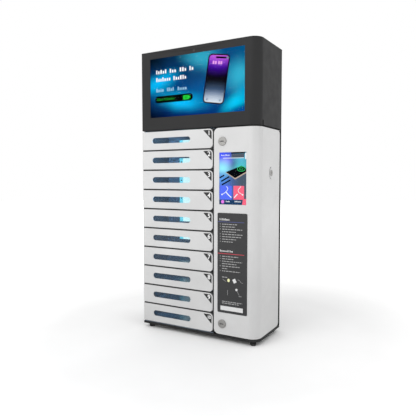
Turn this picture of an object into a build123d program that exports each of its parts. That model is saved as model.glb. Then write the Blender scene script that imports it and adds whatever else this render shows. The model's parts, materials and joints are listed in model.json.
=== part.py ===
from build123d import *
from math import cos, radians, sin
import os

# Phone charging kiosk: ten locked phone bays in a column, a service compartment beside
# them behind a wrap-around door, and a header with an advertising screen on top.
# Millimetres. +X right, +Y to the back, +Z up. The origin is under the middle of the
# cabinet, on the surface that it stands on.

os.makedirs("parts", exist_ok=True)

# ---------------------------------------------------------------- driving dimensions
width = 410.0
depth = 180.0
height = 888.0
lock_proud = 3.0          # cam-lock faces stand this far out of the front
key_plate_proud = 2.0     # side key switch stands this far out of the right side
sheet = 1.5               # folded steel
corner_radius = 30.0      # front right corner of the case, seen from above
foot_height = 12.0
base_lip = 7.0            # height of the dark strip under the doors
header_bottom = 642.0     # underside of the header cover
bay_count = 10
bay_pitch = 62.0
door_gap = 4.6            # between one bay door and the next
doors_right = 55.0        # right edge of the bay doors
service_left = 59.5       # left edge of the service door
rear_strip = 13.0         # depth of the dark hinge strip down the rear right edge

# ---------------------------------------------------------------- derived places
left = -width / 2
right = width / 2 - key_plate_proud
front = -depth / 2 + lock_proud
back = depth / 2
case_top = height
case_bottom = foot_height
base_top = case_bottom + base_lip
bays_bottom = base_top + 1.0
bays_top = bays_bottom + bay_count * bay_pitch
lid_bottom = case_top - sheet
door_fold = 12.0          # depth of the folded edges of every door
left_panel_front = front + door_fold + 1.5
inner_back = back - sheet
partition_x = doors_right + 1.0
shelf_back = 60.0
shelf_front = front + 2.0
bay_centres = [bays_bottom + bay_pitch * (i + 0.5) for i in range(bay_count)][::-1]


# ---------------------------------------------------------------- shared helpers
def save(piece, name):
    """Label a finished sub-part and write it as one STEP file."""
    piece.part.label = name
    export_step(piece.part, f"parts/{name}.step")


def block(x, y, z, mode=Mode.ADD):
    """A box in the current part that spans three (low, high) ranges."""
    spans = (x, y, z)
    with Locations(tuple(sum(span) / 2 for span in spans)):
        Box(*[high - low for low, high in spans], mode=mode)


def spindle(centre, radius, length, axis="Z", mode=Mode.ADD):
    """A cylinder in the current part, centred on a point, along a main axis."""
    turn = {"X": (0, 90, 0), "Y": (90, 0, 0), "Z": (0, 0, 0)}[axis]
    with Locations(centre):
        Cylinder(radius, length, rotation=turn, mode=mode)


def case_plan(inset, x_low=left, y_high=back):
    """Plan of the case: three square corners, and the front right one rounded."""
    x_high = right - inset
    y_low = front + inset
    with BuildSketch() as plan:
        with Locations(((x_low + x_high) / 2, (y_low + y_high) / 2)):
            Rectangle(x_high - x_low, y_high - y_low)
        corner = plan.vertices().sort_by(Axis.X)[-2:].sort_by(Axis.Y)[0]
        fillet(corner, corner_radius - inset)
    return plan.sketch


def plan_slab(low, high, outer, inner=None):
    """Extrude one case plan, less another, between two heights, in the current part."""
    with BuildSketch(Plane.XY.offset(low)) as profile:
        add(outer)
        if inner is not None:
            add(inner, mode=Mode.SUBTRACT)
    extrude(profile.sketch, amount=high - low)


# ---------------------------------------------------------------- case shell
with BuildPart() as base_tray:
    plan_slab(case_bottom, case_bottom + sheet, case_plan(0))
    rim = case_plan(0, y_high=inner_back)
    plan_slab(case_bottom + sheet, base_top, rim, case_plan(sheet, left + sheet))
    foot_x = width / 2 - 22
    foot_y = depth / 2 - 19
    foot_stud_radius = 3.0
    with Locations((0, 0, case_bottom)):
        with GridLocations(2 * foot_x, 2 * foot_y, 2, 2):
            Cylinder(foot_stud_radius + 0.2, 4 * sheet, mode=Mode.SUBTRACT)
    stand_bolt_radius = 4.5
    with Locations((0, 0, case_bottom)):
        with GridLocations(260, 100, 2, 2):
            Cylinder(stand_bolt_radius, 4 * sheet, mode=Mode.SUBTRACT)
save(base_tray, "base_tray")

with BuildPart() as levelling_feet:
    foot_radius = 9.0
    pad_height = 8.0
    for x in (-foot_x, foot_x):
        for y in (-foot_y, foot_y):
            spindle((x, y, pad_height / 2), foot_radius, pad_height)
            spindle((x, y, (pad_height + case_bottom) / 2), 5.5, case_bottom - pad_height)
            spindle((x, y, case_bottom + 3.5), foot_stud_radius, 7.0)
    rims = levelling_feet.edges().filter_by(GeomType.CIRCLE).group_by(Axis.Z)[0]
    chamfer(rims, 1.0)
save(levelling_feet, "levelling_feet")

screw_radius = 1.5
screw_x = (left + 8, 190.0)
screw_z = [40.0 + 116.0 * i for i in range(8)]
post_front = inner_back - 3.0
flange_depth = 12.0

with BuildPart() as left_panel:
    block((left, left + sheet), (left_panel_front, inner_back), (base_top, lid_bottom))
    block((left + sheet, left + flange_depth), (inner_back - sheet, inner_back), (base_top, lid_bottom))
    for z in screw_z:
        spindle((screw_x[0], inner_back, z), screw_radius + 0.1, 10, "Y", Mode.SUBTRACT)
save(left_panel, "left_panel")

with BuildPart() as rear_post:
    block((right - 23, right), (post_front, inner_back), (base_top, lid_bottom))
    block((right - sheet, right), (inner_back, back), (base_top, lid_bottom))
    for z in screw_z:
        spindle((screw_x[1], inner_back, z), screw_radius + 0.1, 10, "Y", Mode.SUBTRACT)
save(rear_post, "rear_post")

inlet_x = (96.0, 124.0)
inlet_z = (26.0, 48.0)
rocker_well_x = (130.0, 146.0)
wall_hole_radius = 3.5
wall_hole_spacing = (240.0, 600.0)
wall_hole_centre_z = 440.0
vent_groups = [(-95, 805), (95, 805), (60, 545), (60, 360)]
vent_slot = (80.0, 4.0)
vent_pitch = 9.0
vent_rows = 8
with BuildPart() as back_panel:
    block((left, right - sheet), (inner_back, back), (case_bottom + sheet, lid_bottom))
    with BuildSketch(Plane.XZ.offset(-back)):
        with Locations((0, wall_hole_centre_z)):
            with GridLocations(*wall_hole_spacing, 2, 2):
                Circle(wall_hole_radius)
        for x in screw_x:
            with Locations([(x, z) for z in screw_z]):
                Circle(screw_radius + 1.5)
        for place in vent_groups:
            with Locations(place):
                with GridLocations(1, vent_pitch, 1, vent_rows):
                    SlotOverall(*vent_slot)
        with Locations(((inlet_x[0] + rocker_well_x[1]) / 2, sum(inlet_z) / 2)):
            Rectangle(rocker_well_x[1] - inlet_x[0], inlet_z[1] - inlet_z[0])
    extrude(amount=sheet * 2, both=True, mode=Mode.SUBTRACT)
save(back_panel, "back_panel")

with BuildPart() as back_screws:
    for x in screw_x:
        for z in screw_z:
            spindle((x, back - sheet / 2, z), screw_radius + 1.4, sheet, "Y")
            spindle((x, (inner_back + post_front) / 2, z), screw_radius, inner_back - post_front, "Y")
    with BuildSketch(Plane.XZ.offset(-back)):
        for x in screw_x:
            with Locations([(x, z) for z in screw_z]):
                RegularPolygon(1.3, 6)
    extrude(amount=0.9, mode=Mode.SUBTRACT)
save(back_screws, "back_screws")

with BuildPart() as top_cover:
    plan_slab(lid_bottom, case_top, case_plan(0))
    fillet(top_cover.faces().sort_by(Axis.Z)[-1].outer_wire().edges(), 0.9)
save(top_cover, "top_cover")

# ---------------------------------------------------------------- header
screen_x = (-172.0, 158.5)
screen_z = (682.0, 865.0)
webcam = (-10.0, 872.5)
header_rear = post_front - 0.3
relief_height = 16.0      # bend relief slit at the front corner of the side
with BuildPart() as header_cover:
    plan_slab(
        header_bottom,
        lid_bottom,
        case_plan(0, y_high=header_rear),
        case_plan(sheet, left + sheet, header_rear + 1),
    )
    fold = case_plan(10, left - 1, header_rear + 1)
    for low in (header_bottom, lid_bottom - sheet):
        plan_slab(low, low + sheet, case_plan(0, y_high=header_rear), fold)
    block((left - 1, left + 2 * sheet), (left_panel_front, back), (0, height), Mode.SUBTRACT)
    block(screen_x, (front - 1, front + 2), screen_z, Mode.SUBTRACT)
    spindle((webcam[0], front, webcam[1]), 2.5, 8, "Y", Mode.SUBTRACT)
    side_start = front + corner_radius
    side_edge = (header_bottom - 1, header_bottom + 0.8)
    block((right - 12, right + 1), (side_start, back), side_edge, Mode.SUBTRACT)
    relief_y = (side_start - 2.5, side_start + 3.5)
    block((right - 3, right + 1), relief_y, (header_bottom - 1, header_bottom + relief_height), Mode.SUBTRACT)
save(header_cover, "header_cover")

with BuildPart() as header_floor:
    plan_slab(bays_top, bays_top + sheet, case_plan(3 * sheet, left + sheet, shelf_back))
rod = (left + 6.0, front + 6.0)
rod_radius = 3.0
running_gap = 0.05
with BuildPart(mode=Mode.PRIVATE) as rod_bore:
    spindle((*rod, height / 2), rod_radius + running_gap, height)
with header_floor:
    add(rod_bore.part, mode=Mode.SUBTRACT)
save(header_floor, "header_floor")

lcd_x = (screen_x[0] - 9, screen_x[1] + 9)
lcd_z = (screen_z[0] - 6, screen_z[1] + 2.5)
lcd_front = front + 4.5
lcd_back = front + 15.0
driver_box_depth = 6.0
glass_thickness = 2.4     # leaves a thin air gap before the display
with BuildPart() as screen_panel:
    block(lcd_x, (lcd_front, lcd_back), lcd_z)
    block((-70, 60), (lcd_back, lcd_back + driver_box_depth), (700, 800))
    fillet(screen_panel.faces().sort_by(Axis.Y)[-1].edges(), 2)
save(screen_panel, "screen_panel")

with BuildPart() as screen_glass:
    block(lcd_x, (front + sheet, front + sheet + glass_thickness), lcd_z)
save(screen_glass, "screen_glass")

rail_x = (-140.0, 130.0)
rail_flange = 2.0
with BuildPart() as screen_rails:
    for x in rail_x:
        rail_z = (bays_top + sheet, lid_bottom)
        block((x - 12, x + 12), (lcd_back, lcd_back + rail_flange), rail_z)
        block((x - 1, x + 1), (lcd_back + rail_flange, front + 30), rail_z)
save(screen_rails, "screen_rails")

with BuildPart() as webcam_module:
    x, z = webcam
    block((x - 30, x + 30), (front + sheet, front + 5), (z - 4, z + 4))
    spindle((x, front + 1.2, z), 2.3, 1.8, "Y")
save(webcam_module, "webcam_module")

# ---------------------------------------------------------------- bays
nose_front = front + 2.0
keeper_y = (front + 17.0, front + 17.0 + sheet)
with BuildPart() as bay_partition:
    partition_z = (bays_bottom + 0.75, bays_top - 0.75)
    block((partition_x, partition_x + sheet), (nose_front, inner_back), partition_z)
    block((partition_x + sheet, partition_x + 20), keeper_y, partition_z)
save(bay_partition, "bay_partition")

wire_hole = (28.0, -6.0)  # behind each bay's charging socket
wire_hole_radius = 5.0
with BuildPart() as bay_rear_wall:
    block((left + sheet, partition_x), (shelf_back, shelf_back + sheet), partition_z)
    with BuildSketch(Plane.XZ.offset(-shelf_back)):
        with Locations([(wire_hole[0], z + wire_hole[1]) for z in bay_centres]):
            Circle(wire_hole_radius)
    extrude(amount=3 * sheet, both=True, mode=Mode.SUBTRACT)
save(bay_rear_wall, "bay_rear_wall")

with BuildPart() as bay_shelves:
    for i in range(bay_count):
        z = bays_bottom + bay_pitch * i
        block((left + sheet, partition_x), (shelf_front, shelf_back), (z - 0.75, z + 0.75))
    add(rod_bore.part, mode=Mode.SUBTRACT)
save(bay_shelves, "bay_shelves")

with BuildPart() as door_hinge_rod:
    rod_low = case_bottom + sheet
    rod_high = bays_top + sheet
    spindle((*rod, (rod_low + rod_high) / 2), rod_radius, rod_high - rod_low)
    chamfer(door_hinge_rod.edges().filter_by(GeomType.CIRCLE), 0.6)
save(door_hinge_rod, "door_hinge_rod")

hook_x = (48.0, 50.0)
hook_half = 8.0
lock_case_x = (42.0, partition_x)
lock_case_y = (front + 14.0, front + 54.0)
lock_case_half = 14.0
with BuildPart() as bay_lock_cases:
    for z in bay_centres:
        block(lock_case_x, lock_case_y, (z - lock_case_half, z + lock_case_half))
        slot_x = (hook_x[0] - 1.6, hook_x[1] + 1.7)
        slot_z = (z - hook_half - 2, z + hook_half + 2)
        block(slot_x, (lock_case_y[0] - 1, lock_case_y[0] + 22), slot_z, Mode.SUBTRACT)
save(bay_lock_cases, "bay_lock_cases")

usb_x = 28.0
usb_drop = -6.0           # middle of the socket, from the bay's centre
usb_body = (32.0, 12.0, 22.0)
usb_mouth = (14.0, 10.0, 6.0)
with BuildPart() as bay_usb_modules:
    for z in bay_centres:
        socket_z = z + usb_drop
        with Locations((usb_x, shelf_back - usb_body[1] / 2, socket_z)):
            Box(*usb_body)
        with Locations((usb_x, shelf_back - usb_body[1] + 3, socket_z)):
            Box(*usb_mouth, mode=Mode.SUBTRACT)
        with Locations((usb_x, shelf_back - 7, socket_z + 1.4)):
            Box(usb_mouth[0] - 2, 6, 1.9)
save(bay_usb_modules, "bay_usb_modules")

light_x = (-156.0, -94.0)
light_z = (-20.0, 12.0)   # from the bay's centre
light_base = 2.0
light_lens = 1.5
with BuildPart() as bay_light_panels:
    for z in bay_centres:
        span = (z + light_z[0], z + light_z[1])
        lens = (span[0] + 1.5, span[1] - 1.5)
        block(light_x, (shelf_back - light_base, shelf_back), span)
        lens_x = (light_x[0] + 1.5, light_x[1] - 1.5)
        block(lens_x, (shelf_back - light_base - light_lens, shelf_back - light_base), lens)
save(bay_light_panels, "bay_light_panels")

# ---------------------------------------------------------------- bay doors
door_height = bay_pitch - door_gap
door_corner = 12.0
window_size = (142.0, 18.0)
window_x = -94.5
pane_size = (162.0, 34.0)
knuckle_radius = 4.0


def door_blank(edge, reach):
    """A slab as deep as the door's folds, set in from its edges, about height zero."""
    x_low = left + edge
    x_high = doors_right - edge
    with BuildPart() as blank:
        z_high = door_height / 2 - edge
        block((x_low, x_high), (front + edge, front + reach), (-z_high, z_high))
        fillet(blank.edges().filter_by(Axis.Y).group_by(Axis.X)[-1], door_corner - edge)
        if edge == 0:
            fillet(blank.faces().sort_by(Axis.Y)[0].edges(), 0.8)
    return blank.part


with BuildPart(mode=Mode.PRIVATE) as door_pan:
    add(door_blank(0, door_fold))
    add(door_blank(sheet, door_fold + 1), mode=Mode.SUBTRACT)
    with BuildSketch(Plane.XZ.offset(-front)):
        with Locations((window_x, 0)):
            SlotOverall(*window_size)
    extrude(amount=-2 * sheet, both=True, mode=Mode.SUBTRACT)
    for side in (-1, 1):
        z_span = sorted((side * (door_height / 2 - 1), side * (door_height / 2 - 17)))
        spindle((*rod, sum(z_span) / 2), knuckle_radius, 16)
        block((left + 1, rod[0] + knuckle_radius), (front + 1, rod[1]), z_span)
    block(hook_x, (front + 1, front + 30), (-hook_half, hook_half))
    block((hook_x[0] - 8, hook_x[1]), (front + 1, front + sheet + 1), (-hook_half, hook_half))
    spindle((sum(hook_x) / 2, front + 24, 0), 4, 6, "X", Mode.SUBTRACT)
    spindle((*rod, 0), rod_radius + running_gap, door_height + 2, mode=Mode.SUBTRACT)

with BuildPart(mode=Mode.PRIVATE) as window_pane:
    with BuildSketch(Plane.XZ.offset(-front - sheet)):
        with Locations((window_x, 0)):
            RectangleRounded(*pane_size, 5)
    extrude(amount=-2.5)

for number, centre_z in enumerate(bay_centres, start=1):
    with BuildPart() as bay_door:
        add(door_pan.part.moved(Location((0, 0, centre_z))))
    save(bay_door, f"bay_door_{number:02d}")
    with BuildPart() as bay_window:
        add(window_pane.part.moved(Location((0, 0, centre_z))))
    save(bay_window, f"bay_window_{number:02d}")

# ---------------------------------------------------------------- service door
service_low = base_top + 2.0
service_high = header_bottom - 4.0
service_rear = back - rear_strip
front_corner = 15.0
side_corner = 13.0
touch_x = (77.0, 165.0)
touch_z = (413.0, 566.0)
lock_x = 87.5
lock_heights = (598.5, 53.5)
lock_barrel_radius = 9.5
key_y = 6.0
key_z = 506.0


def wrap_blank(edge, reach):
    """The service door's L-shaped wrap as a slab, set in from its edges."""
    x_low = service_left + edge
    y_high = service_rear - edge
    with BuildPart() as blank:
        hollow = case_plan(reach, x_low - 5, y_high + 5)
        plan_slab(service_low + edge, service_high - edge, case_plan(edge, x_low, y_high), hollow)
        fillet(blank.edges().filter_by(Axis.Y).group_by(Axis.X)[0], front_corner - edge)
        fillet(blank.edges().filter_by(Axis.X).group_by(Axis.Y)[-1], side_corner - edge)
    return blank.part


with BuildPart() as service_door:
    add(wrap_blank(0, door_fold))
    add(wrap_blank(sheet, door_fold + 1), mode=Mode.SUBTRACT)
    block(touch_x, (front - 1, front + 2), touch_z, Mode.SUBTRACT)
    for z in lock_heights:
        spindle((lock_x, front, z), lock_barrel_radius, 8, "Y", Mode.SUBTRACT)
    spindle((right, key_y, key_z), lock_barrel_radius, 8, "X", Mode.SUBTRACT)
save(service_door, "service_door")

touch_recess = 0.8        # cover glass fills this, flush with the door
touch_gap = 0.3
touch_back = front + 9.0
with BuildPart() as touch_screen:
    block(
        (touch_x[0] + touch_gap, touch_x[1] - touch_gap),
        (front + touch_recess, front + sheet),
        (touch_z[0] + touch_gap, touch_z[1] - touch_gap),
    )
    block((touch_x[0] - 5, touch_x[1] + 5), (front + sheet, touch_back), (touch_z[0] - 6, touch_z[1] + 6))
save(touch_screen, "touch_screen")

info_x = (72.0, 169.5)
info_z = (88.5, 388.0)
with BuildPart() as info_plate:
    block(info_x, (front - 1, front), info_z)
    fillet(info_plate.edges().filter_by(Axis.Y), 4)
    fillet(info_plate.faces().sort_by(Axis.Y)[0].edges(), 0.4)
save(info_plate, "info_plate")

# ---------------------------------------------------------------- cam locks
lock_face = front - lock_proud
barrel_end = keeper_y[1] + 0.7
cam_y = (barrel_end + 0.3, barrel_end + 2.8)
plug_radius = 7.5
key_slot = (12.0, 2.6)
with BuildPart() as lock_bodies:
    for z in lock_heights:
        spindle((lock_x, (lock_face + front) / 2, z), 13, lock_proud, "Y")
        spindle((lock_x, (front + barrel_end) / 2, z), lock_barrel_radius, barrel_end - front, "Y")
        spindle((lock_x, front, z), plug_radius + running_gap, 60, "Y", Mode.SUBTRACT)
    fillet(lock_bodies.faces().group_by(Axis.Y)[0].edges().sort_by(SortBy.RADIUS)[-2:], 1.0)
save(lock_bodies, "lock_bodies")

with BuildPart() as lock_nuts:
    for z in lock_heights:
        with BuildSketch(Plane.XZ.offset(-front - sheet)):
            with Locations((lock_x, z)):
                RegularPolygon(13, 6)
                Circle(lock_barrel_radius, mode=Mode.SUBTRACT)
        extrude(amount=-4)
save(lock_nuts, "lock_nuts")

for place, z in zip(("upper", "lower"), lock_heights):
    with BuildPart() as lock_plug:
        plug_face = lock_face + 0.3
        spindle((lock_x, (plug_face + barrel_end) / 2, z), plug_radius, barrel_end - plug_face, "Y")
        with Locations((lock_x, lock_face + 2, z)):
            Box(key_slot[0], 5, key_slot[1], mode=Mode.SUBTRACT)
        block((lock_x - 3.5, lock_x + 3.5), (barrel_end - 1, cam_y[1]), (z - 3.5, z + 3.5))
        spindle((lock_x, cam_y[1] + 1, z), 5, 2, "Y")
    save(lock_plug, f"lock_plug_{place}")
    with BuildPart() as lock_cam:
        tongue = (z - 29, z + 8)
        block((lock_x - 8, lock_x + 8), cam_y, tongue)
        fillet(lock_cam.edges().filter_by(Axis.Y), 4)
        block((lock_x - 3.5, lock_x + 3.5), (cam_y[0] - 1, cam_y[1] + 1), (z - 3.5, z + 3.5), Mode.SUBTRACT)
    save(lock_cam, f"lock_cam_{place}")

# ---------------------------------------------------------------- side key switch
plate_thickness = 1.2
plate_radii = (10.5, 17.5)
key_plug_radius = 5.0
screw_offset = 13.5
with BuildPart() as key_plate:
    with BuildSketch(Plane.YZ.offset(right)):
        with Locations((key_y, key_z)):
            Ellipse(*plate_radii)
            Circle(lock_barrel_radius, mode=Mode.SUBTRACT)
            with Locations((0, screw_offset), (0, -screw_offset)):
                Circle(1.8, mode=Mode.SUBTRACT)
    extrude(amount=plate_thickness)
save(key_plate, "key_plate")

with BuildPart() as key_plate_screws:
    for z in (key_z - screw_offset, key_z + screw_offset):
        spindle((right + plate_thickness / 2, key_y, z), 1.7, plate_thickness, "X")
save(key_plate_screws, "key_plate_screws")

with BuildPart() as key_switch_body:
    key_face = right + key_plate_proud
    spindle(((key_face + right - 22) / 2, key_y, key_z), lock_barrel_radius, key_face - right + 22, "X")
    block((right - 38, right - 22), (key_y - 9, key_y + 9), (key_z - 9, key_z + 9))
    spindle((right - 5, key_y, key_z), key_plug_radius + running_gap, 32, "X", Mode.SUBTRACT)
save(key_switch_body, "key_switch_body")

with BuildPart() as key_switch_plug:
    plug_low = right - 20.5
    plug_high = key_face - 0.2
    spindle(((plug_low + plug_high) / 2, key_y, key_z), key_plug_radius, plug_high - plug_low, "X")
    block((plug_high - 5, key_face), (key_y - 3.5, key_y + 3.5), (key_z - 0.9, key_z + 0.9), Mode.SUBTRACT)
save(key_switch_plug, "key_switch_plug")

# ---------------------------------------------------------------- service hinge
hinge = (right - 4.0, service_rear + 4.0)
barrel_radius = 3.5
pin_radius = 1.5
leaf = 1.5
hinge_low = service_low
hinge_high = service_high
knuckle_count = 15
knuckle_pitch = (hinge_high - hinge_low) / knuckle_count
knuckle_gap = 0.3


def knuckles(start):
    """Every second barrel of the long hinge, in the current part."""
    for i in range(start, knuckle_count, 2):
        z = hinge_low + knuckle_pitch * (i + 0.5)
        spindle((*hinge, z), barrel_radius, knuckle_pitch - knuckle_gap)


def hinge_bore():
    """The running bore for the hinge pin, through the current part."""
    spindle((*hinge, height / 2), pin_radius + running_gap, height, mode=Mode.SUBTRACT)


with BuildPart() as hinge_door_leaf:
    block((right - door_fold, right - 2.5), (service_rear, service_rear + leaf), (hinge_low, hinge_high))
    for i in range(0, knuckle_count, 2):
        z = hinge_low + knuckle_pitch * (i + 0.5)
        half = (knuckle_pitch + knuckle_gap) / 2
        block((hinge[0] - 4.3, right), (service_rear + 0.5, back), (z - half, z + half), Mode.SUBTRACT)
    knuckles(1)
    hinge_bore()
save(hinge_door_leaf, "hinge_door_leaf")

with BuildPart() as hinge_fixed_leaf:
    block((right - 17, right - 2.5), (post_front - leaf, post_front), (hinge_low, hinge_high))
    for i in range(1, knuckle_count, 2):
        z = hinge_low + knuckle_pitch * (i + 0.5)
        half = (knuckle_pitch + knuckle_gap) / 2
        block((hinge[0] - 4.3, right), (front, post_front - 0.5), (z - half, z + half), Mode.SUBTRACT)
    knuckles(0)
    hinge_bore()
save(hinge_fixed_leaf, "hinge_fixed_leaf")

with BuildPart() as hinge_pin:
    spindle((*hinge, (hinge_low + hinge_high) / 2), pin_radius, hinge_high - hinge_low + 4)
save(hinge_pin, "hinge_pin")

# ---------------------------------------------------------------- electrics
supply_x = (74.0, 172.0)
supply_z = (70.0, 270.0)
supply_front = inner_back - 38.0
terminal_face = supply_front + 4.0
with BuildPart() as power_supply:
    block(supply_x, (supply_front, inner_back), supply_z)
    fillet(power_supply.edges().filter_by(Axis.Z), 1.5)
    with BuildSketch(Plane.XZ.offset(-supply_front)):
        with Locations((123, 185)):
            with GridLocations(12, 12, 6, 8):
                Circle(3)
    extrude(amount=-1.2, mode=Mode.SUBTRACT)
    block((supply_x[0] + 4, supply_x[1] - 4), (supply_front - 1, terminal_face), (69, 84), Mode.SUBTRACT)
    for i in range(7):
        spindle((88.5 + 11.5 * i, terminal_face, 77), 2.8, 3, "Y", Mode.SUBTRACT)
save(power_supply, "power_supply")

board_y = inner_back - 10
board_face = board_y - 1.6
heat_sink_z = (385.0, 425.0)
fin_pitch = 6.4
connector_heights = (340.0, 362.0, 440.0)
with BuildPart() as controller_board:
    block((72, 172), (board_face, board_y), (330, 470))
    block((92, 132), (board_face - 11.4, board_face), heat_sink_z)
    for i in range(6):
        fin_gap = (94 + fin_pitch * i, 98 + fin_pitch * i)
        fin_z = (heat_sink_z[0] - 1, heat_sink_z[1] + 1)
        block(fin_gap, (board_face - 12, board_face - 3.4), fin_z, Mode.SUBTRACT)
    for z in connector_heights:
        block((150, 171), (board_face - 12.4, board_face), (z - 8, z + 8))
    block((78, 138), (board_face - 8.4, board_face), (336, 342))
    for x in (76, 168):
        for z in (334, 466):
            spindle((x, (board_y + inner_back) / 2, z), 3, inner_back - board_y, "Y")
save(controller_board, "controller_board")

rocker_pivot = (back - 7.0, sum(inlet_z) / 2)
rocker_x = (rocker_well_x[0] + 1.2, rocker_well_x[1] - 2.2)
trunnion_radius = 1.2
with BuildPart() as power_inlet:
    flange_z = (inlet_z[0] - 4, inlet_z[1] + 4)
    block((inlet_x[0] - 6, rocker_well_x[1] + 4), (inner_back - 2.5, inner_back), flange_z)
    block(
        (inlet_x[0] + 0.2, rocker_well_x[1] - 0.2),
        (back - 26, back),
        (inlet_z[0] + 0.2, inlet_z[1] - 0.2),
    )
    mouth_z = (inlet_z[0] + 2.5, inlet_z[1] - 2.5)
    block((inlet_x[0] + 2, inlet_x[1] - 1), (back - 20, back + 1), mouth_z, Mode.SUBTRACT)
    centre_x = (inlet_x[0] + inlet_x[1] + 1) / 2
    centre_z = sum(inlet_z) / 2
    for x, z in ((-7, -2), (7, -2), (0, 3)):
        with Locations((centre_x + x, back - 13.5, centre_z + z)):
            Box(2, 15, 4)
    block(
        (rocker_x[0] - 0.5, rocker_x[1] + 0.5),
        (back - 18, back + 1),
        (inlet_z[0] + 1.5, inlet_z[1] - 1.5),
        Mode.SUBTRACT,
    )
    rocker_mid = sum(rocker_x) / 2
    pivot = (rocker_mid, *rocker_pivot)
    spindle(pivot, trunnion_radius + running_gap, rocker_x[1] - rocker_x[0] + 2.6, "X", Mode.SUBTRACT)
save(power_inlet, "power_inlet")

rocker_tilt = radians(9.0)
tilted = Plane((rocker_x[0], *rocker_pivot), (0, cos(rocker_tilt), sin(rocker_tilt)), (1, 0, 0))
with BuildPart() as power_rocker:
    with BuildSketch(tilted):
        with BuildLine():
            Polyline((-3, -6), (4.6, -8.3), (3.4, 0), (4.6, 8.3), (-3, 6), close=True)
        make_face()
    extrude(amount=rocker_x[1] - rocker_x[0])
    spindle(pivot, trunnion_radius, rocker_x[1] - rocker_x[0] + 2.2, "X")
save(power_rocker, "power_rocker")
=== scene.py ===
# Looks of the phone charging kiosk: the finishes, the two screens' pictures, the printed
# plate, the door numbers and a plain studio around them. Metres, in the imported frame, apart
# from the flat shapes and small parts, which are drawn in mm.
import json
from math import cos, pi, radians, sin
import random

import bmesh
import bpy
from mathutils import Matrix, Vector


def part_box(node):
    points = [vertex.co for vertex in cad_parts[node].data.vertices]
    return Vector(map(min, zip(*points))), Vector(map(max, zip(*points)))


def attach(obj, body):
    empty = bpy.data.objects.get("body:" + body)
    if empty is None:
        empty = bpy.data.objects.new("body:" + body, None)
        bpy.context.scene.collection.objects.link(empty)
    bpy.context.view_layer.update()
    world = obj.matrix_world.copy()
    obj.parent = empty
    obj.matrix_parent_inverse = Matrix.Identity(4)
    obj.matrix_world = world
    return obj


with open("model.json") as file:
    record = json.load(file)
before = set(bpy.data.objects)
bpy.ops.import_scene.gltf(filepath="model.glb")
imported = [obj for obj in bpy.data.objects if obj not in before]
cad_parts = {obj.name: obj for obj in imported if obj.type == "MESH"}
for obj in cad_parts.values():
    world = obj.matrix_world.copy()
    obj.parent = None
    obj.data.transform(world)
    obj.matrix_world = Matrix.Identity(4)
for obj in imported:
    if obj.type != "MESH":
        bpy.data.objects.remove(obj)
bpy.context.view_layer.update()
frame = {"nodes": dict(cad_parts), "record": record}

nodes = frame["nodes"]
mm = 0.001


def srgb(red, green, blue):
    """A display colour (0 to 255) as the linear colour that shaders take."""
    def channel(value):
        value /= 255
        return value / 12.92 if value <= 0.04045 else ((value + 0.055) / 1.055) ** 2.4
    return (channel(red), channel(green), channel(blue), 1.0)


# ---------------------------------------------------------------- camera
camera_place = Vector((0.723, -1.296, 0.4907))
camera_azimuth = 29.5     # degrees
camera_dip = 3.7
camera_data = bpy.data.cameras.new("camera")
camera_data.sensor_width = 36.0
camera_data.lens = 40.0
camera = bpy.data.objects.new("camera", camera_data)
camera.location = camera_place
camera.rotation_euler = (radians(90 - camera_dip), 0, radians(camera_azimuth))
bpy.context.scene.collection.objects.link(camera)
bpy.context.scene.camera = camera


# ---------------------------------------------------------------- node materials
picture_depth = -84.0     # y of the screens' pictures in mm, near enough for their soft spots


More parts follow.
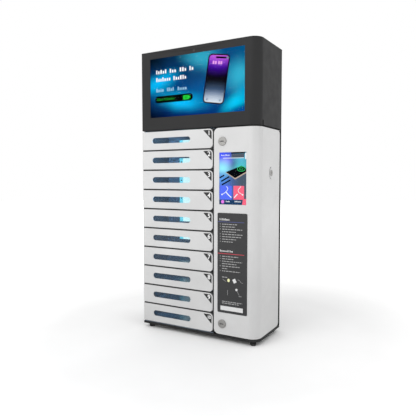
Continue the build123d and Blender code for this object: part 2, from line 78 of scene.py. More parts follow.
class Finish:
    """A Principled material in the making, with short calls for the nodes it needs."""

    def __init__(self, name, **sockets):
        self.material = bpy.data.materials.new(name)
        self.material.use_nodes = True
        self.nodes = self.material.node_tree.nodes
        self.link = self.material.node_tree.links.new
        self.shader = self.nodes["Principled BSDF"]
        self.place = self.nodes.new("ShaderNodeTexCoord").outputs["Object"]
        self.set(**sockets)

    def set(self, **sockets):
        """Constant values for the shader's sockets, with _ in place of spaces."""
        for name, value in sockets.items():
            self.shader.inputs[name.replace("_", " ")].default_value = value

    def noise(self, scale, detail=3.0, stretch=(1, 1, 1)):
        """Grey noise with so many features to a metre, stretched along the axes."""
        mapping = self.nodes.new("ShaderNodeMapping")
        mapping.inputs["Scale"].default_value = stretch
        self.link(self.place, mapping.inputs["Vector"])
        texture = self.nodes.new("ShaderNodeTexNoise")
        texture.inputs["Scale"].default_value = scale
        texture.inputs["Detail"].default_value = detail
        self.link(mapping.outputs["Vector"], texture.inputs["Vector"])
        return texture.outputs["Fac"]

    def spread(self, value, low, high, start=0.3, end=0.7):
        """A grey value stretched from start..end to low..high."""
        node = self.nodes.new("ShaderNodeMapRange")
        for socket, number in zip(("From Min", "From Max", "To Min", "To Max"), (start, end, low, high)):
            node.inputs[socket].default_value = number
        self.link(value, node.inputs["Value"])
        return node.outputs["Result"]

    def blend(self, share, first, second, how="MIX"):
        """Two colours, each a socket or a value, mixed by a grey share."""
        node = self.nodes.new("ShaderNodeMix")
        node.data_type = "RGBA"
        node.blend_type = how
        for socket, value in ((node.inputs[0], share), (node.inputs[6], first), (node.inputs[7], second)):
            if isinstance(value, bpy.types.NodeSocket):
                self.link(value, socket)
            else:
                socket.default_value = value
        return node.outputs[2]

    def glow(self, centre, radii, turn=0.0):
        """A soft spot in a picture: 1 at an (x, z) centre and 0 at its radii, all in mm."""
        mapping = self.nodes.new("ShaderNodeMapping")
        mapping.vector_type = "TEXTURE"
        mapping.inputs["Location"].default_value = (centre[0] * mm, picture_depth * mm, centre[1] * mm)
        mapping.inputs["Rotation"].default_value = (0, radians(turn), 0)
        mapping.inputs["Scale"].default_value = (radii[0] * mm, 1, radii[1] * mm)
        self.link(self.place, mapping.inputs["Vector"])
        texture = self.nodes.new("ShaderNodeTexGradient")
        texture.gradient_type = "SPHERICAL"
        self.link(mapping.outputs["Vector"], texture.inputs["Vector"])
        ease = self.nodes.new("ShaderNodeMapRange")
        ease.interpolation_type = "SMOOTHSTEP"
        self.link(texture.outputs["Color"], ease.inputs["Value"])
        return ease.outputs["Result"]

    def height(self, value, strength, distance):
        """Fine relief from a grey value, in metres."""
        node = self.nodes.new("ShaderNodeBump")
        node.inputs["Strength"].default_value = strength
        node.inputs["Distance"].default_value = distance
        self.link(value, node.inputs["Height"])
        self.link(node.outputs["Normal"], self.shader.inputs["Normal"])

    def feed(self, socket, value):
        """Another node's output, led into one of the shader's sockets."""
        self.link(value, self.shader.inputs[socket])


black = (0, 0, 0, 1)
white = (1, 1, 1, 1)


def scaled(colour, factor, lift=0.0):
    """A colour made darker or paler, with its alpha kept at 1."""
    return [channel * factor + lift for channel in colour[:3]] + [1.0]


def powder_coat(name, colour, rough, gloss=0.5):
    """Satin powder coat: fine orange peel, with slight drifts in tone and gloss."""
    finish = Finish(name, Specular_IOR_Level=gloss)
    drift = finish.spread(finish.noise(7), 0, 1)
    tone = finish.blend(drift, scaled(colour, 0.95), scaled(colour, 1.06))
    speck = finish.spread(finish.noise(900, 2), 0.97, 1.03)
    grain = finish.blend(speck, black, white)
    finish.feed("Base Color", finish.blend(1.0, tone, grain, "MULTIPLY"))
    finish.feed("Roughness", finish.spread(finish.noise(35), rough - 0.05, rough + 0.06))
    finish.height(finish.noise(620, 2), 0.12, 0.0002)
    return finish.material


def plated(name, colour, rough, stretch=(1, 1, 1)):
    """Bare or plated metal with fine drawn lines."""
    finish = Finish(name, Metallic=1.0)
    lines = finish.noise(420, 4, stretch)
    tone = finish.blend(finish.spread(lines, 0, 1), scaled(colour, 0.82), colour)
    finish.feed("Base Color", tone)
    finish.feed("Roughness", finish.spread(lines, rough - 0.06, rough + 0.1))
    finish.height(lines, 0.08, 0.0001)
    return finish.material


def moulded(name, colour, rough, grain=1400):
    """Moulded plastic or rubber with a fine spark-eroded grain."""
    finish = Finish(name, Specular_IOR_Level=0.35)
    speck = finish.noise(grain, 2)
    tone = finish.blend(finish.spread(speck, 0, 1), colour, scaled(colour, 1.3, 0.002))
    finish.feed("Base Color", tone)
    finish.feed("Roughness", finish.spread(finish.noise(60), rough - 0.06, rough + 0.08))
    finish.height(speck, 0.2, 0.0001)
    return finish.material


def pane(name, colour, alpha, rough):
    """A clear or tinted sheet that shows what is behind it."""
    finish = Finish(name, Alpha=alpha, IOR=1.49)
    haze = finish.noise(22)
    tone = finish.blend(finish.spread(haze, 0, 1), colour, scaled(colour, 1.4))
    finish.feed("Base Color", tone)
    finish.feed("Roughness", finish.spread(haze, rough, rough + 0.04))
    return finish.material


def lit(name, colour, strength=1.0):
    """A part of a picture that glows in one colour, with a display's faint pixel grain."""
    finish = Finish(name, Base_Color=black, Roughness=0.4, Specular_IOR_Level=0.0)
    finish.set(Emission_Strength=strength)
    grain = finish.spread(finish.noise(1500, 1), 0, 1)
    finish.feed("Emission Color", finish.blend(grain, scaled(colour, 0.93), colour))
    return finish.material


def light_panel(name, edge, core_start):
    """A lit diffuser: one colour along its left edge, nearly white from an x in metres on."""
    finish = Finish(name, Base_Color=(0.3, 0.5, 0.55, 1), Roughness=0.4, Emission_Strength=3.4)
    axes = finish.nodes.new("ShaderNodeSeparateXYZ")
    finish.link(finish.place, axes.inputs["Vector"])
    share = finish.spread(axes.outputs["X"], 0, 1, core_start, core_start + 0.003)
    grain = finish.spread(finish.noise(300, 1), 0, 1)
    core = finish.blend(grain, (0.62, 0.96, 0.98, 1), (0.70, 1.0, 1.0, 1))
    finish.feed("Emission Color", finish.blend(share, edge, core))
    return finish.material


def printed(name, colour):
    """Screen-printed ink with a faint mottle."""
    finish = Finish(name)
    mottle = finish.spread(finish.noise(800, 2), 0, 1)
    finish.feed("Base Color", finish.blend(mottle, scaled(colour, 0.9), colour))
    finish.feed("Roughness", finish.spread(finish.noise(90), 0.4, 0.55))
    return finish.material


def picture(name, base, spots, strength=1.0, wave=0.0):
    """A display picture: soft spots of colour laid over a base, one after another."""
    finish = Finish(name, Base_Color=black, Roughness=0.4, Specular_IOR_Level=0.0)
    finish.set(Emission_Strength=strength)
    if wave:
        bend = finish.nodes.new("ShaderNodeTexNoise")
        bend.inputs["Scale"].default_value = 9.0
        bend.inputs["Detail"].default_value = 1.0
        finish.link(finish.place, bend.inputs["Vector"])
        centred = finish.nodes.new("ShaderNodeVectorMath")
        centred.operation = "SUBTRACT"
        centred.inputs[1].default_value = (0.5, 0.5, 0.5)
        finish.link(bend.outputs["Color"], centred.inputs[0])
        shift = finish.nodes.new("ShaderNodeVectorMath")
        shift.operation = "MULTIPLY_ADD"
        shift.inputs[1].default_value = (wave, 0, wave)
        finish.link(centred.outputs["Vector"], shift.inputs[0])
        finish.link(finish.place, shift.inputs[2])
        finish.place = shift.outputs["Vector"]
    colour = base
    for centre, radii, turn, tint, share in spots:
        spot = finish.glow(centre, radii, turn)
        colour = finish.blend(finish.spread(spot, 0, share, 0, 1), colour, tint)
    finish.feed("Emission Color", colour)
    return finish.material


white_paint = powder_coat("white_paint", (0.515, 0.515, 0.515, 1), 0.42)
dark_paint = powder_coat("dark_paint", (0.022, 0.022, 0.0225, 1), 0.52, 0.12)
inner_steel = powder_coat("inner_steel", (0.15, 0.185, 0.235, 1), 0.34)
zinc_steel = plated("zinc_steel", (0.55, 0.56, 0.58, 1), 0.32, (1, 1, 0.08))
lock_chrome = plated("lock_chrome", (0.33, 0.325, 0.315, 1), 0.3)
black_plastic = moulded("black_plastic", (0.014, 0.014, 0.015, 1), 0.42)
lcd_case = moulded("lcd_case", (0.02, 0.02, 0.022, 1), 0.5)
foot_rubber = moulded("foot_rubber", (0.012, 0.012, 0.012, 1), 0.75, 700)
label_film = moulded("label_film", (0.019, 0.019, 0.020, 1), 0.48, 1800)
tag_film = moulded("tag_film", (0.012, 0.012, 0.012, 1), 0.38, 1800)
smoked_acrylic = pane("smoked_acrylic", (0.012, 0.035, 0.07, 1), 0.5, 0.04)
clear_glass = pane("clear_glass", (0.004, 0.005, 0.006, 1), 0.02, 0.02)
tag_white = printed("tag_white", (0.80, 0.80, 0.80, 1))
ink_grey = printed("ink_grey", (0.30, 0.30, 0.30, 1))
ink_white = printed("ink_white", (0.62, 0.62, 0.62, 1))
ink_blue = printed("ink_blue", srgb(62, 72, 130))
ink_red = printed("ink_red", srgb(190, 50, 66))
ink_yellow = printed("ink_yellow", srgb(225, 225, 170))


def circuit_board():
    """Solder resist over copper tracks."""
    finish = Finish("circuit_board")
    tracks = finish.spread(finish.noise(160, 1, (1, 1, 0.2)), 0, 1, 0.48, 0.52)
    finish.feed("Base Color", finish.blend(tracks, (0.01, 0.10, 0.045, 1), (0.015, 0.16, 0.07, 1)))
    finish.feed("Roughness", finish.spread(tracks, 0.3, 0.42))
    finish.height(tracks, 0.3, 0.0001)
    return finish.material


light_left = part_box("bay_light_panels")[0].x
cyan_edge = 0.013         # width of the bluer band down the left of each light panel
finishes = {
    "white_paint": white_paint,
    "dark_paint": dark_paint,
    "inner_steel": inner_steel,
    "zinc_steel": zinc_steel,
    "lock_chrome": lock_chrome,
    "smoked_acrylic": smoked_acrylic,
    "screen_glass": clear_glass,
    "lcd_module": lcd_case,
    "label_film": label_film,
    "black_plastic": black_plastic,
    "led_diffuser": light_panel("light_lens", (0.11, 0.60, 0.72, 1), light_left + cyan_edge),
    "circuit_board": circuit_board(),
    "foot_rubber": foot_rubber,
}


# ---------------------------------------------------------------- the CAD pieces' finish
def soften(node, width, steps=2):
    """Round a CAD piece's sharp edges a little."""
    weld = node.modifiers.new("weld", "WELD")
    weld.merge_threshold = 1e-6
    bevel = node.modifiers.new("bevel", "BEVEL")
    bevel.width = width
    bevel.segments = steps
    bevel.limit_method = "ANGLE"
    bevel.angle_limit = radians(40)
    bevel.harden_normals = True
    bevel.use_clamp_overlap = True


edge_widths = {
    "service_door": 0.8,
    "header_cover": 0.5,
    "base_tray": 0.4,
    "left_panel": 0.4,
    "rear_post": 0.4,
    "back_panel": 0.3,
    "touch_screen": 0.3,
    "bay_lock_cases": 0.5,
    "bay_usb_modules": 0.5,
    "power_supply": 0.6,
    "power_inlet": 0.4,
    "power_rocker": 0.5,
    "key_plate": 0.3,
    "key_switch_body": 0.5,
    "lock_nuts": 0.4,
    "lock_cam_upper": 0.4,
    "lock_cam_lower": 0.4,
}

slots = {entry["node"]: entry["material_slot"] for entry in frame["record"]["subparts"]}
for name, node in nodes.items():
    node.data.materials.clear()
    node.data.materials.append(finishes[slots[name]])
    if name in edge_widths:
        soften(node, edge_widths[name] * mm)


# ---------------------------------------------------------------- flat printed and lit shapes
def corners_mm(node_name):
    """Lowest and highest corners of a CAD piece, in mm."""
    low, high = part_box(node_name)
    return low / mm, high / mm


def middle_of(low, high):
    """The point half way between two corners."""
    return (low + high) / 2


def box_outline(x_low, x_high, z_low, z_high, corner=0.0, steps=5):
    """A rectangle's (x, z) outline, with rounded corners."""
    if not corner:
        return [(x_low, z_low), (x_high, z_low), (x_high, z_high), (x_low, z_high)]
    outline = []
    middles = [(x_high - corner, z_high - corner), (x_low + corner, z_high - corner),
               (x_low + corner, z_low + corner), (x_high - corner, z_low + corner)]
    for quarter, (x, z) in enumerate(middles):
        for step in range(steps + 1):
            angle = (quarter + step / steps) * pi / 2
            outline.append((x + corner * cos(angle), z + corner * sin(angle)))
    return outline


def bar(x_low, x_high, z, height):
    """A level bar with round ends."""
    return box_outline(x_low, x_high, z - height / 2, z + height / 2, height / 2 * 0.98, 4)


def ellipse(x, z, x_radius, z_radius, steps=28):
    """An oval (x, z) outline."""
    angles = [2 * pi * step / steps for step in range(steps)]
    return [(x + x_radius * cos(a), z + z_radius * sin(a)) for a in angles]


def turned(outline, centre, degrees):
    """An outline turned clockwise about a point."""
    c, s = cos(radians(degrees)), sin(radians(degrees))
    return [(centre[0] + (x - centre[0]) * c + (z - centre[1]) * s,
             centre[1] - (x - centre[0]) * s + (z - centre[1]) * c) for x, z in outline]


def catmull_rom(p, q, r, s, t):
    """One coordinate of a Catmull-Rom curve, at a share t of the way from q to r."""
    bend = (2 * p - 5 * q + 4 * r - s) * t * t
    twist = (3 * q - p - 3 * r + s) * t ** 3
    return 0.5 * (2 * q + (r - p) * t + bend + twist)


def smooth_path(points, steps=8):
    """A curve through some points (Catmull-Rom)."""
    padded = [points[0], *points, points[-1]]
    path = []
    for a, b, c, d in zip(padded, padded[1:], padded[2:], padded[3:]):
        for step in range(steps):
            t = step / steps
            path.append(tuple(catmull_rom(*places, t) for places in zip(a, b, c, d)))
    return path + [points[-1]]


def stroke(path, width):
    """The outline of a line of some width along a path."""
    sides = ([], [])
    for i, (x, z) in enumerate(path):
        x0, z0 = path[max(i - 1, 0)]
        x1, z1 = path[min(i + 1, len(path) - 1)]
        along = Vector((x1 - x0, z1 - z0)).normalized()
        for side, sign in zip(sides, (1, -1)):
            side.append((x - sign * along.y * width / 2, z + sign * along.x * width / 2))
    return sides[0] + sides[1][::-1]


def oval_ring(x, z, x_radius, z_radius, width, steps):
    """The two halves of an oval line of some width."""
    path = ellipse(x, z, x_radius, z_radius, steps)
    path.append(path[0])
    half = steps // 2
    return [stroke(path[:half + 1], width), stroke(path[half:], width)]


def plate(name, outlines, front, thickness, finish, body):
    """Thin closed plates cut to (x, z) outlines, with their faces at y = front, all in mm."""
    mesh_maker = bmesh.new()
    for outline in outlines:
        rings = [[mesh_maker.verts.new((x * mm, y * mm, z * mm)) for x, z in outline]
                 for y in (front, front + thickness)]
        mesh_maker.faces.new(rings[0])
        mesh_maker.faces.new(rings[1][::-1])
        count = len(outline)
        for i in range(count):
            j = (i + 1) % count
            mesh_maker.faces.new((rings[0][i], rings[1][i], rings[1][j], rings[0][j]))
    bmesh.ops.recalc_face_normals(mesh_maker, faces=mesh_maker.faces)
    mesh = bpy.data.meshes.new(name)
    mesh_maker.to_mesh(mesh)
    mesh_maker.free()
    piece = bpy.data.objects.new(name, mesh)
    piece.data.materials.append(finish)
    bpy.context.scene.collection.objects.link(piece)
    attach(piece, body)
    return piece


def word_blocks(x, z, height, words, seed):
    """Small upright blocks that stand for a line of words, from x to the right."""
    draw = random.Random(seed)
    outlines = []
    for letters in words:
        for letter in range(letters):
            wide = height * draw.uniform(0.3, 0.46)
            tall = height * (1.0 if letter == 0 else draw.choice((0.68, 0.68, 0.72, 0.98)))
            outlines.append(box_outline(x, x + wide, z, z + tall, min(wide, tall) * 0.28, 3))
            x += wide + height * 0.24
        x += height * 0.42
    return outlines


# ---------------------------------------------------------------- header screen
glass_low, glass_high = corners_mm("screen_glass")
picture_front = glass_high.y + 0.45
layer = 0.05              # step from one layer of a picture to the next
canvas = (-178.0, 162.0, 675.0, 865.0)    # the header picture is drawn in this (x, z) box
opening = (glass_low.x + 9.0, glass_high.x - 9.0, glass_low.z + 6.0, glass_high.z - 2.5)
picture_bleed = 2.0       # how far the picture runs on behind the cover
canvas_scale = (
    (opening[1] - opening[0]) / (canvas[1] - canvas[0]),
    (opening[3] - opening[2]) / (canvas[3] - canvas[2]),
)


def on_header(outline):
    """An outline drawn on the canvas, fitted to the screen's opening."""
    return [(opening[0] + (x - canvas[0]) * canvas_scale[0],
             opening[2] + (z - canvas[2]) * canvas_scale[1]) for x, z in outline]


def header_spots(spots):
    """A picture's soft spots, drawn on the canvas, fitted to the screen's opening."""
    return [(on_header([centre])[0], (radii[0] * canvas_scale[0], radii[1] * canvas_scale[1]), *rest)
            for centre, radii, *rest in spots]


screen_blue = picture(
    "header_picture_light",
    srgb(2, 66, 128),
    header_spots([
        ((165, 868), (120, 90), 20, srgb(2, 88, 138), 0.9),
        ((-178, 868), (200, 92), 8, srgb(0, 16, 34), 1.0),
        ((-60, 866), (100, 50), 0, srgb(2, 40, 74), 0.9),
        ((12, 850), (110, 80), 25, srgb(48, 168, 198), 1.0),
        ((-64, 812), (90, 40), 25, srgb(2, 54, 98), 0.95),
        ((-150, 782), (110, 46), -14, srgb(0, 190, 252), 1.0),
        ((6, 790), (60, 52), 30, srgb(4, 60, 114), 0.9),
        ((20, 740), (150, 70), -18, srgb(2, 100, 172), 0.6),
        ((-62, 722), (130, 44), 8, srgb(0, 196, 255), 1.0),
        ((140, 785), (74, 80), 60, srgb(48, 180, 212), 1.0),
        ((132, 712), (84, 38), -32, srgb(0, 210, 252), 1.0),
        ((162, 738), (44, 44), 0, srgb(6, 160, 214), 0.7),
        ((150, 675), (60, 30), 0, srgb(0, 80, 162), 0.9),
        ((-50, 664), (230, 56), 0, srgb(0, 26, 110), 1.0),
        ((-186, 664), (210, 96), 12, srgb(0, 0, 6), 1.0),
    ]),
    1.0,
    0.03,
)
picture_box = (opening[0] - picture_bleed, opening[1] + picture_bleed,
               opening[2] - picture_bleed, opening[3] + picture_bleed)
plate("header_picture", [box_outline(*picture_box)], picture_front, 0.1, screen_blue, "cabinet")

headline = (word_blocks(-157, 815.5, 13.5, (5,), 3) + word_blocks(-104, 815.0, 13.5, (3,), 5)
            + word_blocks(-66, 815.0, 13.5, (3,), 6) + word_blocks(-30, 815.0, 13.5, (2,), 8)
            + word_blocks(-157, 791.0, 13.5, (7,), 9) + word_blocks(-90, 790.5, 13.5, (6,), 12))
second_line = (word_blocks(-157, 757.5, 12.0, (4,), 2) + word_blocks(-114, 757.5, 12.0, (4,), 4)
               + word_blocks(-74, 757.0, 12.0, (5,), 7))
text_white = lit("header_text_light", srgb(252, 253, 255), 1.05)
text_pale = lit("header_pale_light", srgb(160, 212, 238))
pill_black = lit("header_black_light", srgb(2, 3, 3))
green = lit("header_green_light", srgb(30, 215, 60), 1.05)
green_dim = lit("header_green_dim_light", srgb(20, 150, 36))


def header_layer(name, outlines, level, finish):
    """One layer of the header screen's picture; higher levels lie nearer the glass."""
    fitted = [on_header(outline) for outline in outlines]
    plate(name, fitted, picture_front - layer * level, layer, finish, "cabinet")


header_layer("header_headline", headline, 1, text_white)
header_layer("header_second_line", second_line, 1, text_pale)
header_layer("header_pill", [bar(-162, -17.5, 733, 22.5)], 1, pill_black)
header_layer("header_pill_words", word_blocks(-153, 729.5, 8.4, (5, 8), 31), 2, green_dim)
battery_body = box_outline(-54, -31, 725.8, 739.2, 3)
battery_tip = box_outline(-30.5, -27, 729, 736, 1.5)
header_layer("header_battery", [battery_body, battery_tip], 2, green)
bolt = [(-41, 738), (-48, 731.5), (-43.5, 731.5), (-45, 727), (-37.5, 733.8), (-42, 733.8)]
header_layer("header_battery_bolt", [bolt], 3, green_dim)

phone_centre = (64.9, 778.4)
phone_turn = 9.0
phone_size = (75.0, 150.0)


def on_phone(outline):
    """An outline drawn upright, leaning with the phone in the picture."""
    return turned(outline, phone_centre, phone_turn)


def phone_outline(inset, corner):
    """The phone in the picture, drawn in from its edge by some inset."""
    half_x = phone_size[0] / 2 - inset
    half_z = phone_size[1] / 2 - inset
    x, z = phone_centre
    return on_phone(box_outline(x - half_x, x + half_x, z - half_z, z + half_z, corner))


header_layer("header_phone_shell", [phone_outline(0, 13)], 1, lit("phone_shell_light", srgb(44, 34, 58)))
header_layer("header_phone_bezel", [phone_outline(1.2, 12)], 2, lit("phone_bezel_light", srgb(1, 1, 3)))
phone_light = picture(
    "header_phone_light",
    srgb(3, 1, 8),
    header_spots([
        ((73, 850), (100, 70), 9, srgb(92, 14, 222), 1.0),
        ((78, 868), (100, 62), 9, srgb(226, 112, 228), 1.0),
        ((55, 706), (130, 74), 9, srgb(96, 130, 176), 1.0),
        ((52, 696), (130, 56), 9, srgb(236, 244, 250), 1.0),
    ]),
    1.0,
)
header_layer("header_phone_picture", [phone_outline(4.2, 9)], 3, phone_light)
status_row = on_phone(box_outline(54, 90, 840, 845.5, 2.5))
header_layer("header_phone_status", [status_row], 4, pill_black)
status_spot = on_phone(box_outline(92, 96.5, 840.6, 845, 1.5))
header_layer("header_phone_charge", [status_spot], 5, green)
time_digits = [on_phone(box_outline(x, x + 6, 822, 832, 2)) for x in (45, 53, 64, 72)]
header_layer("header_phone_digits", time_digits, 4, lit("phone_digit_light", srgb(240, 170, 240)))
shortcuts = [on_phone(ellipse(x, 716, 3.6, 3.6)) for x in (42, 88)]
header_layer("header_phone_shortcuts", shortcuts, 4, lit("phone_shortcut_light", srgb(150, 170, 195)))

# ---------------------------------------------------------------- touch screen
touch_front = corners_mm("touch_screen")[0].y
cover = box_outline(77.3, 164.7, 413.3, 565.7, 0.8)
plate("touch_glass", [cover], touch_front - 0.75, 0.35, clear_glass, "service_door")

touch_light = picture(
    "touch_picture_light",
    srgb(76, 90, 106),
    [
        ((92, 470), (62, 120), 0, srgb(70, 110, 190), 0.8),
        ((84, 562), (62, 70), 20, srgb(72, 92, 250), 1.0),
        ((95, 538), (34, 24), -10, srgb(150, 150, 255), 1.0),
        ((88, 519), (46, 34), 10, srgb(150, 238, 255), 1.0),
        ((148, 545), (40, 40), 30, srgb(90, 190, 220), 0.9),
        ((146, 524), (40, 20), -20, srgb(80, 200, 210), 0.9),
        ((84, 488), (40, 30), 0, srgb(90, 160, 240), 0.8),
        ((92, 448), (44, 40), 0, srgb(88, 110, 250), 0.9),
        ((120, 415), (90, 18), 0, srgb(30, 70, 110), 0.9),
    ],
    1.1,
)


def touch_layer(name, outlines, level, finish):
    """One layer of the touch screen's picture; higher levels lie nearer its glass."""
    plate(name, outlines, touch_front - 0.05 - layer * level, layer, finish, "service_door")


touch_layer("touch_picture", [cover], 0, touch_light)
touch_black = lit("touch_black_light", srgb(8, 10, 16))
touch_white = lit("touch_white_light", srgb(244, 250, 255), 1.05)
touch_blue = lit("touch_blue_light", srgb(92, 118, 255), 1.05)
touch_red = lit("touch_red_light", srgb(255, 108, 136), 1.05)
touch_layer("touch_top_strip", [box_outline(116, 160, 561.5, 565.5)], 1, touch_black)
touch_slate = lit("touch_slate_light", srgb(88, 96, 108))
touch_layer("touch_slate_band", [box_outline(117, 158, 550, 561)], 1, touch_slate)
# painted highlight: a white glint along the top right edge of the touch screen's glass, drawn into the
# picture
touch_layer("touch_edge_highlight", [box_outline(160.5, 164.5, 545, 563, 1.5)], 1, touch_white)
title_bars = [bar(89, 157, 549, 1.6)] + word_blocks(83, 556, 4.0, (5, 6), 14)
touch_layer("touch_title", title_bars, 2, touch_white)
pad = [(98.4, 508.4), (128.8, 489.9), (164.4, 508.0), (164.4, 517.5), (150, 526.5)]
pad_rim = [(97.4, 507.6), (129.2, 486.6), (164.6, 505.5), (164.6, 509), (128.8, 490.6), (98.4, 508.8)]
touch_layer("touch_pad", [pad], 1, touch_black)
touch_layer("touch_pad_rim", [pad_rim], 2, lit("touch_rim_light", srgb(196, 176, 160)))
ring_pieces = oval_ring(148.6, 517.4, 12.4, 7.0, 1.5, 40) + oval_ring(148.6, 517.4, 5.4, 3.0, 1.3, 40)
touch_layer("touch_pad_rings", ring_pieces, 3, lit("touch_green_light", srgb(50, 200, 110), 1.1))
stripes = [stroke([(78.2, 491.5), (93.6, 499.4)], 4.2), stroke([(83.5, 481.2), (110.1, 495.0)], 4.2),
           stroke([(85.8, 471.0), (113.5, 485.0)], 4.2)]
touch_layer("touch_stripes", stripes, 2, touch_black)
touch_layer("touch_blue_tile", [box_outline(80.8, 118.0, 428.2, 468.2, 1.5)], 1, touch_blue)
touch_layer("touch_red_tile", [box_outline(123.8, 158.0, 428.2, 468.2, 1.5)], 1, touch_red)
curl_blue = smooth_path([(86, 443), (93, 446), (98, 450), (104, 456), (105, 462), (100, 466)])
curl_red = smooth_path([(153, 443), (147, 446), (141, 450), (139, 456), (144, 462), (148, 467)])
lead_blue = [stroke(curl_blue, 1.6), stroke([(99, 450), (108, 441), (117, 434)], 3.0),
             box_outline(84, 88.5, 440.5, 444.5, 1)]
lead_red = [stroke(curl_red, 1.6), stroke([(137, 444.5), (131, 439), (126, 433.5)], 3.0),
            box_outline(151, 155.5, 440.5, 444.5, 1)]
touch_layer("touch_leads", lead_blue + lead_red, 2, touch_white)
touch_foot = lit("touch_foot_light", srgb(34, 66, 104))
touch_layer("touch_foot_band", [box_outline(77.6, 151, 413.6, 426.5)], 1, touch_foot)
foot_words = word_blocks(99, 420.2, 4.2, (5,), 21) + word_blocks(128, 420.6, 4.2, (8,), 22)
touch_layer("touch_foot_words", foot_words, 2, touch_white)
touch_pink = lit("touch_pink_light", srgb(236, 130, 240), 1.1)
touch_layer("touch_pink_spot", [ellipse(88.3, 421, 5.2, 5.2)], 2, touch_pink)
red_corner = [(151.5, 413.4), (164.6, 413.4), (164.6, 430.5), (155, 430.5)]
touch_layer("touch_red_corner", [red_corner], 2, touch_red)


# ---------------------------------------------------------------- printed instruction plate
plate_front = corners_mm("info_plate")[0].y
ink = 0.06                # thickness of the print


def print_on_plate(name, outlines, finish):
    """Ink on the face of the instruction plate."""
    plate(name, outlines, plate_front - ink, ink * 1.5, finish, "service_door")


def list_rows(top, lengths, pitch, seed):
    """Rows of small blocks in place of words, to some x, with or without a mark in front."""
    outlines = []
    draw = random.Random(seed)
    for row, (length, numbered) in enumerate(lengths):
        z = top - pitch * row
        if numbered:
            outlines.append(box_outline(80.6, 82.2, z, z + 3.2, 0.4))
        x = 87.5
        while x < length:
            word = draw.uniform(4, 11)
            outlines.append(bar(x, min(x + word, length), z + 1.3, 2.4))
            x += word + 1.6
    return outlines


heading = 6.2
print_on_plate("info_heading_upper", word_blocks(79.5, 366, heading, (1, 7), 41), ink_white)
print_on_plate("info_heading_lower", word_blocks(80.5, 272.2, heading, (8, 3), 42), ink_white)
print_on_plate("info_rule_blue", [box_outline(73.5, 159.5, 361.0, 362.4)], ink_blue)
print_on_plate("info_rule_red", [box_outline(73.0, 160.0, 266.2, 267.9)], ink_red)
upper_rows = [(138, True), (132, True), (154, True), (133, False),
              (156, True), (150, True), (134, True), (123, True)]
lower_rows = [(141, True), (125, True), (154, True), (135, False),
              (146, True), (107, False), (148, True)]
print_on_plate("info_rows_upper", list_rows(353.4, upper_rows, 7.4, 51), ink_grey)
print_on_plate("info_rows_lower", list_rows(257.5, lower_rows, 7.3, 52), ink_grey)
captions = list_rows(195.2, [(105, False)], 5, 53) + list_rows(121.8, [(155, False), (143, False)], 5.2, 54)
print_on_plate("info_captions", captions, ink_grey)
leads = [stroke(smooth_path([(90, 190), (95, 187), (101, 184)]), 0.9),
         stroke(smooth_path([(139, 193), (146, 191), (150, 186), (156, 184)]), 0.9),
         stroke([(106.2, 159), (106.2, 143)], 0.9),
         stroke(smooth_path([(137, 160), (141, 153), (145, 147)]), 1.0),
         stroke([(143, 143.8), (152, 143.8)], 1.4)]
print_on_plate("info_leads", leads, ink_grey)
card = turned(box_outline(124, 134, 182, 194, 1), (129, 188), -28)
print_on_plate("info_card", [card, ellipse(135.5, 162.5, 3.6, 3.6)], ink_white)
print_on_plate("info_lamp", [ellipse(109.5, 188, 4.0, 5.0)], ink_yellow)
print_on_plate("info_blank_label", [box_outline(82.6, 156.5, 96.2, 109.2, 0.8)], ink_white)


# ---------------------------------------------------------------- bay numbers
tag_inset = 3.6           # from the door's edge
tag_leg = 28.0
tag_corner = 8.0
tag_nick = 1.2            # how far the tag's two points are cut back
film = 0.12               # thickness of the tag


def upright(x, y, z):
    """Places something drawn in its own XY plane upright on the front, facing out."""
    return Matrix.Translation((x * mm, y * mm, z * mm)) @ Matrix.Rotation(radians(90), 4, "X")


def number_tag(number):
    """The black corner tag of one bay door, with its number."""
    body = f"bay_door_{number:02d}"
    door_low, door_high = corners_mm(body)
    x = door_high.x - tag_inset
    z = door_high.z - tag_inset
    arc = [(x - tag_corner + tag_corner * cos(a), z - tag_corner + tag_corner * sin(a))
           for a in [pi / 2 * step / 8 for step in range(9)]]
    outline = [(x - tag_nick, z - tag_leg), (x, z - tag_leg + tag_nick), *arc,
               (x - tag_leg + tag_nick, z), (x - tag_leg, z - tag_nick)]
    face = door_low.y - film
    plate(f"door_tag_{number:02d}", [outline], face, film * 1.4, tag_film, body)
    curve = bpy.data.curves.new("numeral", "FONT")
    curve.body = str(number)
    curve.size = (19.5 if number < 10 else 14.0) * mm
    curve.align_x = "CENTER"
    curve.align_y = "CENTER"
    curve.extrude = film / 2 * mm
    curve.offset = 0.28 * mm
    if number == 10:
        curve.space_character = 0.86
    writer = bpy.data.objects.new("numeral", curve)
    mesh = bpy.data.meshes.new_from_object(writer)
    bpy.data.objects.remove(writer)
    mesh.transform(upright(x - 8.9, face - film * 0.4, z - 9.8))
    mesh.materials.clear()
    mesh.materials.append(tag_white)
    piece = bpy.data.objects.new(f"door_number_{number:02d}", mesh)
    bpy.context.scene.collection.objects.link(piece)
    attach(piece, body)


bay_count = sum(1 for name in nodes if name.startswith("bay_door_"))
for number in range(1, bay_count + 1):
    number_tag(number)


# ---------------------------------------------------------------- trims and small parts
door_left, door_right = corners_mm("bay_door_01")
service_corner = corners_mm("service_door")[0]
trim_clearance = 0.15     # between a rubber trim and the doors beside it


def rubber_trim(name, x_span, z_span, front, depth):
    """A strip of black rubber with rounded ends, closing a gap between doors."""
    outline = box_outline(*x_span, *z_span, 0.6, 3)
    plate(name, [outline], front, depth, foot_rubber, "cabinet")


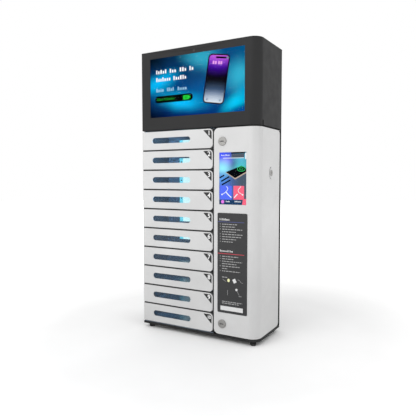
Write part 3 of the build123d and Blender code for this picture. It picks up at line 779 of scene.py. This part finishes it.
shelf_trim_front = door_left.y + 0.3
shelf_trim_x = (door_left.x + 2.0, door_right.x)
for number in range(1, bay_count):
    gap_low = corners_mm(f"bay_door_{number + 1:02d}")[1].z + trim_clearance
    gap_high = corners_mm(f"bay_door_{number:02d}")[0].z - trim_clearance
    rubber_trim(f"shelf_trim_{number:02d}", shelf_trim_x, (gap_low, gap_high), shelf_trim_front, 1.0)
mullion_x = (door_right.x + trim_clearance + 0.1, service_corner.x - trim_clearance)
rubber_trim("mullion_trim", mullion_x, (service_corner.z, door_right.z), door_left.y + 0.6, 3.0)

# painted shade: dark plates inside the locks' key slots, standing in for the shade deep in the slots
for place in ("upper", "lower"):
    plug_low, plug_high = corners_mm(f"lock_plug_{place}")
    plug = middle_of(plug_low, plug_high)
    slot_shade_outline = box_outline(plug.x - 5.9, plug.x + 5.9, plug.z - 1.2, plug.z + 1.2, 0.5, 3)
    body = f"{place}_lock"
    # painted shade: this black plate stands in for the slot's shade
    plate(f"lock_slot_shade_{place}", [slot_shade_outline], plug_low.y + 0.9, 0.6, black_plastic, body)

# one screw head on the left of each light panel
panel_low = corners_mm("bay_light_panels")[0]
panel_screws = []
for number in range(1, bay_count + 1):
    bay = middle_of(*corners_mm(f"bay_door_{number:02d}"))
    panel_screws.append(ellipse(panel_low.x + 8.5, bay.z - 1.5, 2.4, 2.4))
plate("light_panel_screws", panel_screws, panel_low.y - 0.9, 1.2, black_plastic, "cabinet")

# bezel round the webcam's hole
webcam = middle_of(*corners_mm("webcam_module"))
cover_face = corners_mm("header_cover")[0].y
bezel = ellipse(webcam.x, webcam.z, 3.6, 3.6, 32)
plate("webcam_bezel", [bezel], cover_face - 0.25, 0.5, black_plastic, "cabinet")

# gasket round the key plate, drawn as if on the front and turned to face right
key_low, key_high = corners_mm("key_plate")
key = middle_of(key_low, key_high)
key_radii = ((key_high.y - key_low.y) / 2, (key_high.z - key_low.z) / 2)
gasket_halves = oval_ring(key.y, key.z, *key_radii, 1.6, 48)
gasket = plate("key_plate_gasket", gasket_halves, -0.5, 0.9, foot_rubber, "service_door")
gasket.data.transform(Matrix.Translation((key_low.x * mm, 0, 0)) @ Matrix.Rotation(radians(90), 4, "Z"))


# ---------------------------------------------------------------- studio
def area_light(name, place, target, size, power, colour=(1, 1, 1)):
    """A rectangular lamp that faces its target."""
    data = bpy.data.lights.new(name, "AREA")
    data.shape = "RECTANGLE"
    data.size, data.size_y = size
    data.energy = power
    data.color = colour
    light = bpy.data.objects.new(name, data)
    light.location = place
    light.rotation_euler = (Vector(target) - Vector(place)).to_track_quat("-Z", "Y").to_euler()
    bpy.context.scene.collection.objects.link(light)


kiosk_middle = (0, 0, 0.44)
area_light("key", (-0.9, -2.4, 1.9), kiosk_middle, (1.8, 1.8), 23)
area_light("fill", (2.6, -0.9, 1.3), kiosk_middle, (1.6, 1.6), 3)

bay_blue = (0.34, 0.68, 1.0)
for number in range(1, bay_count + 1):
    bay_low, bay_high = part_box(f"bay_door_{number:02d}")
    glow_place = (bay_low.x + 0.065, bay_low.y + 0.055, bay_high.z - 0.008)
    glow_target = (bay_low.x, bay_low.y + 0.06, (bay_low.z + bay_high.z) / 2)
    power = max(0.05, 0.56 - 0.07 * number)
    area_light(f"bay_glow_{number:02d}", glow_place, glow_target, (0.03, 0.02), power, bay_blue)

world = bpy.data.worlds.new("studio")
world.use_nodes = True
bpy.context.scene.world = world
backdrop = world.node_tree.nodes["Background"]
backdrop.inputs["Color"].default_value = white
backdrop.inputs["Strength"].default_value = 1.0

floor_radius = 9.0
floor_mesh = bpy.data.meshes.new("floor")
floor_maker = bmesh.new()
bmesh.ops.create_circle(floor_maker, cap_ends=True, radius=floor_radius, segments=96)
floor_maker.to_mesh(floor_mesh)
floor_maker.free()
floor = bpy.data.objects.new("floor", floor_mesh)
bpy.context.scene.collection.objects.link(floor)
floor_finish = Finish("floor", Roughness=0.6, Specular_IOR_Level=0.2, Emission_Color=white)
floor_tone = floor_finish.spread(floor_finish.noise(3), 0, 1)
floor_finish.feed("Base Color", floor_finish.blend(floor_tone, scaled(white, 0.88), scaled(white, 0.92)))
distance = floor_finish.nodes.new("ShaderNodeVectorMath")
distance.operation = "LENGTH"
floor_finish.link(floor_finish.place, distance.inputs[0])
floor_fade = floor_finish.spread(distance.outputs["Value"], 0.0, 0.7, 0.5, 2.2)
floor_finish.feed("Emission Strength", floor_fade)
floor.data.materials.append(floor_finish.material)

bpy.context.scene.view_settings.view_transform = "Standard"
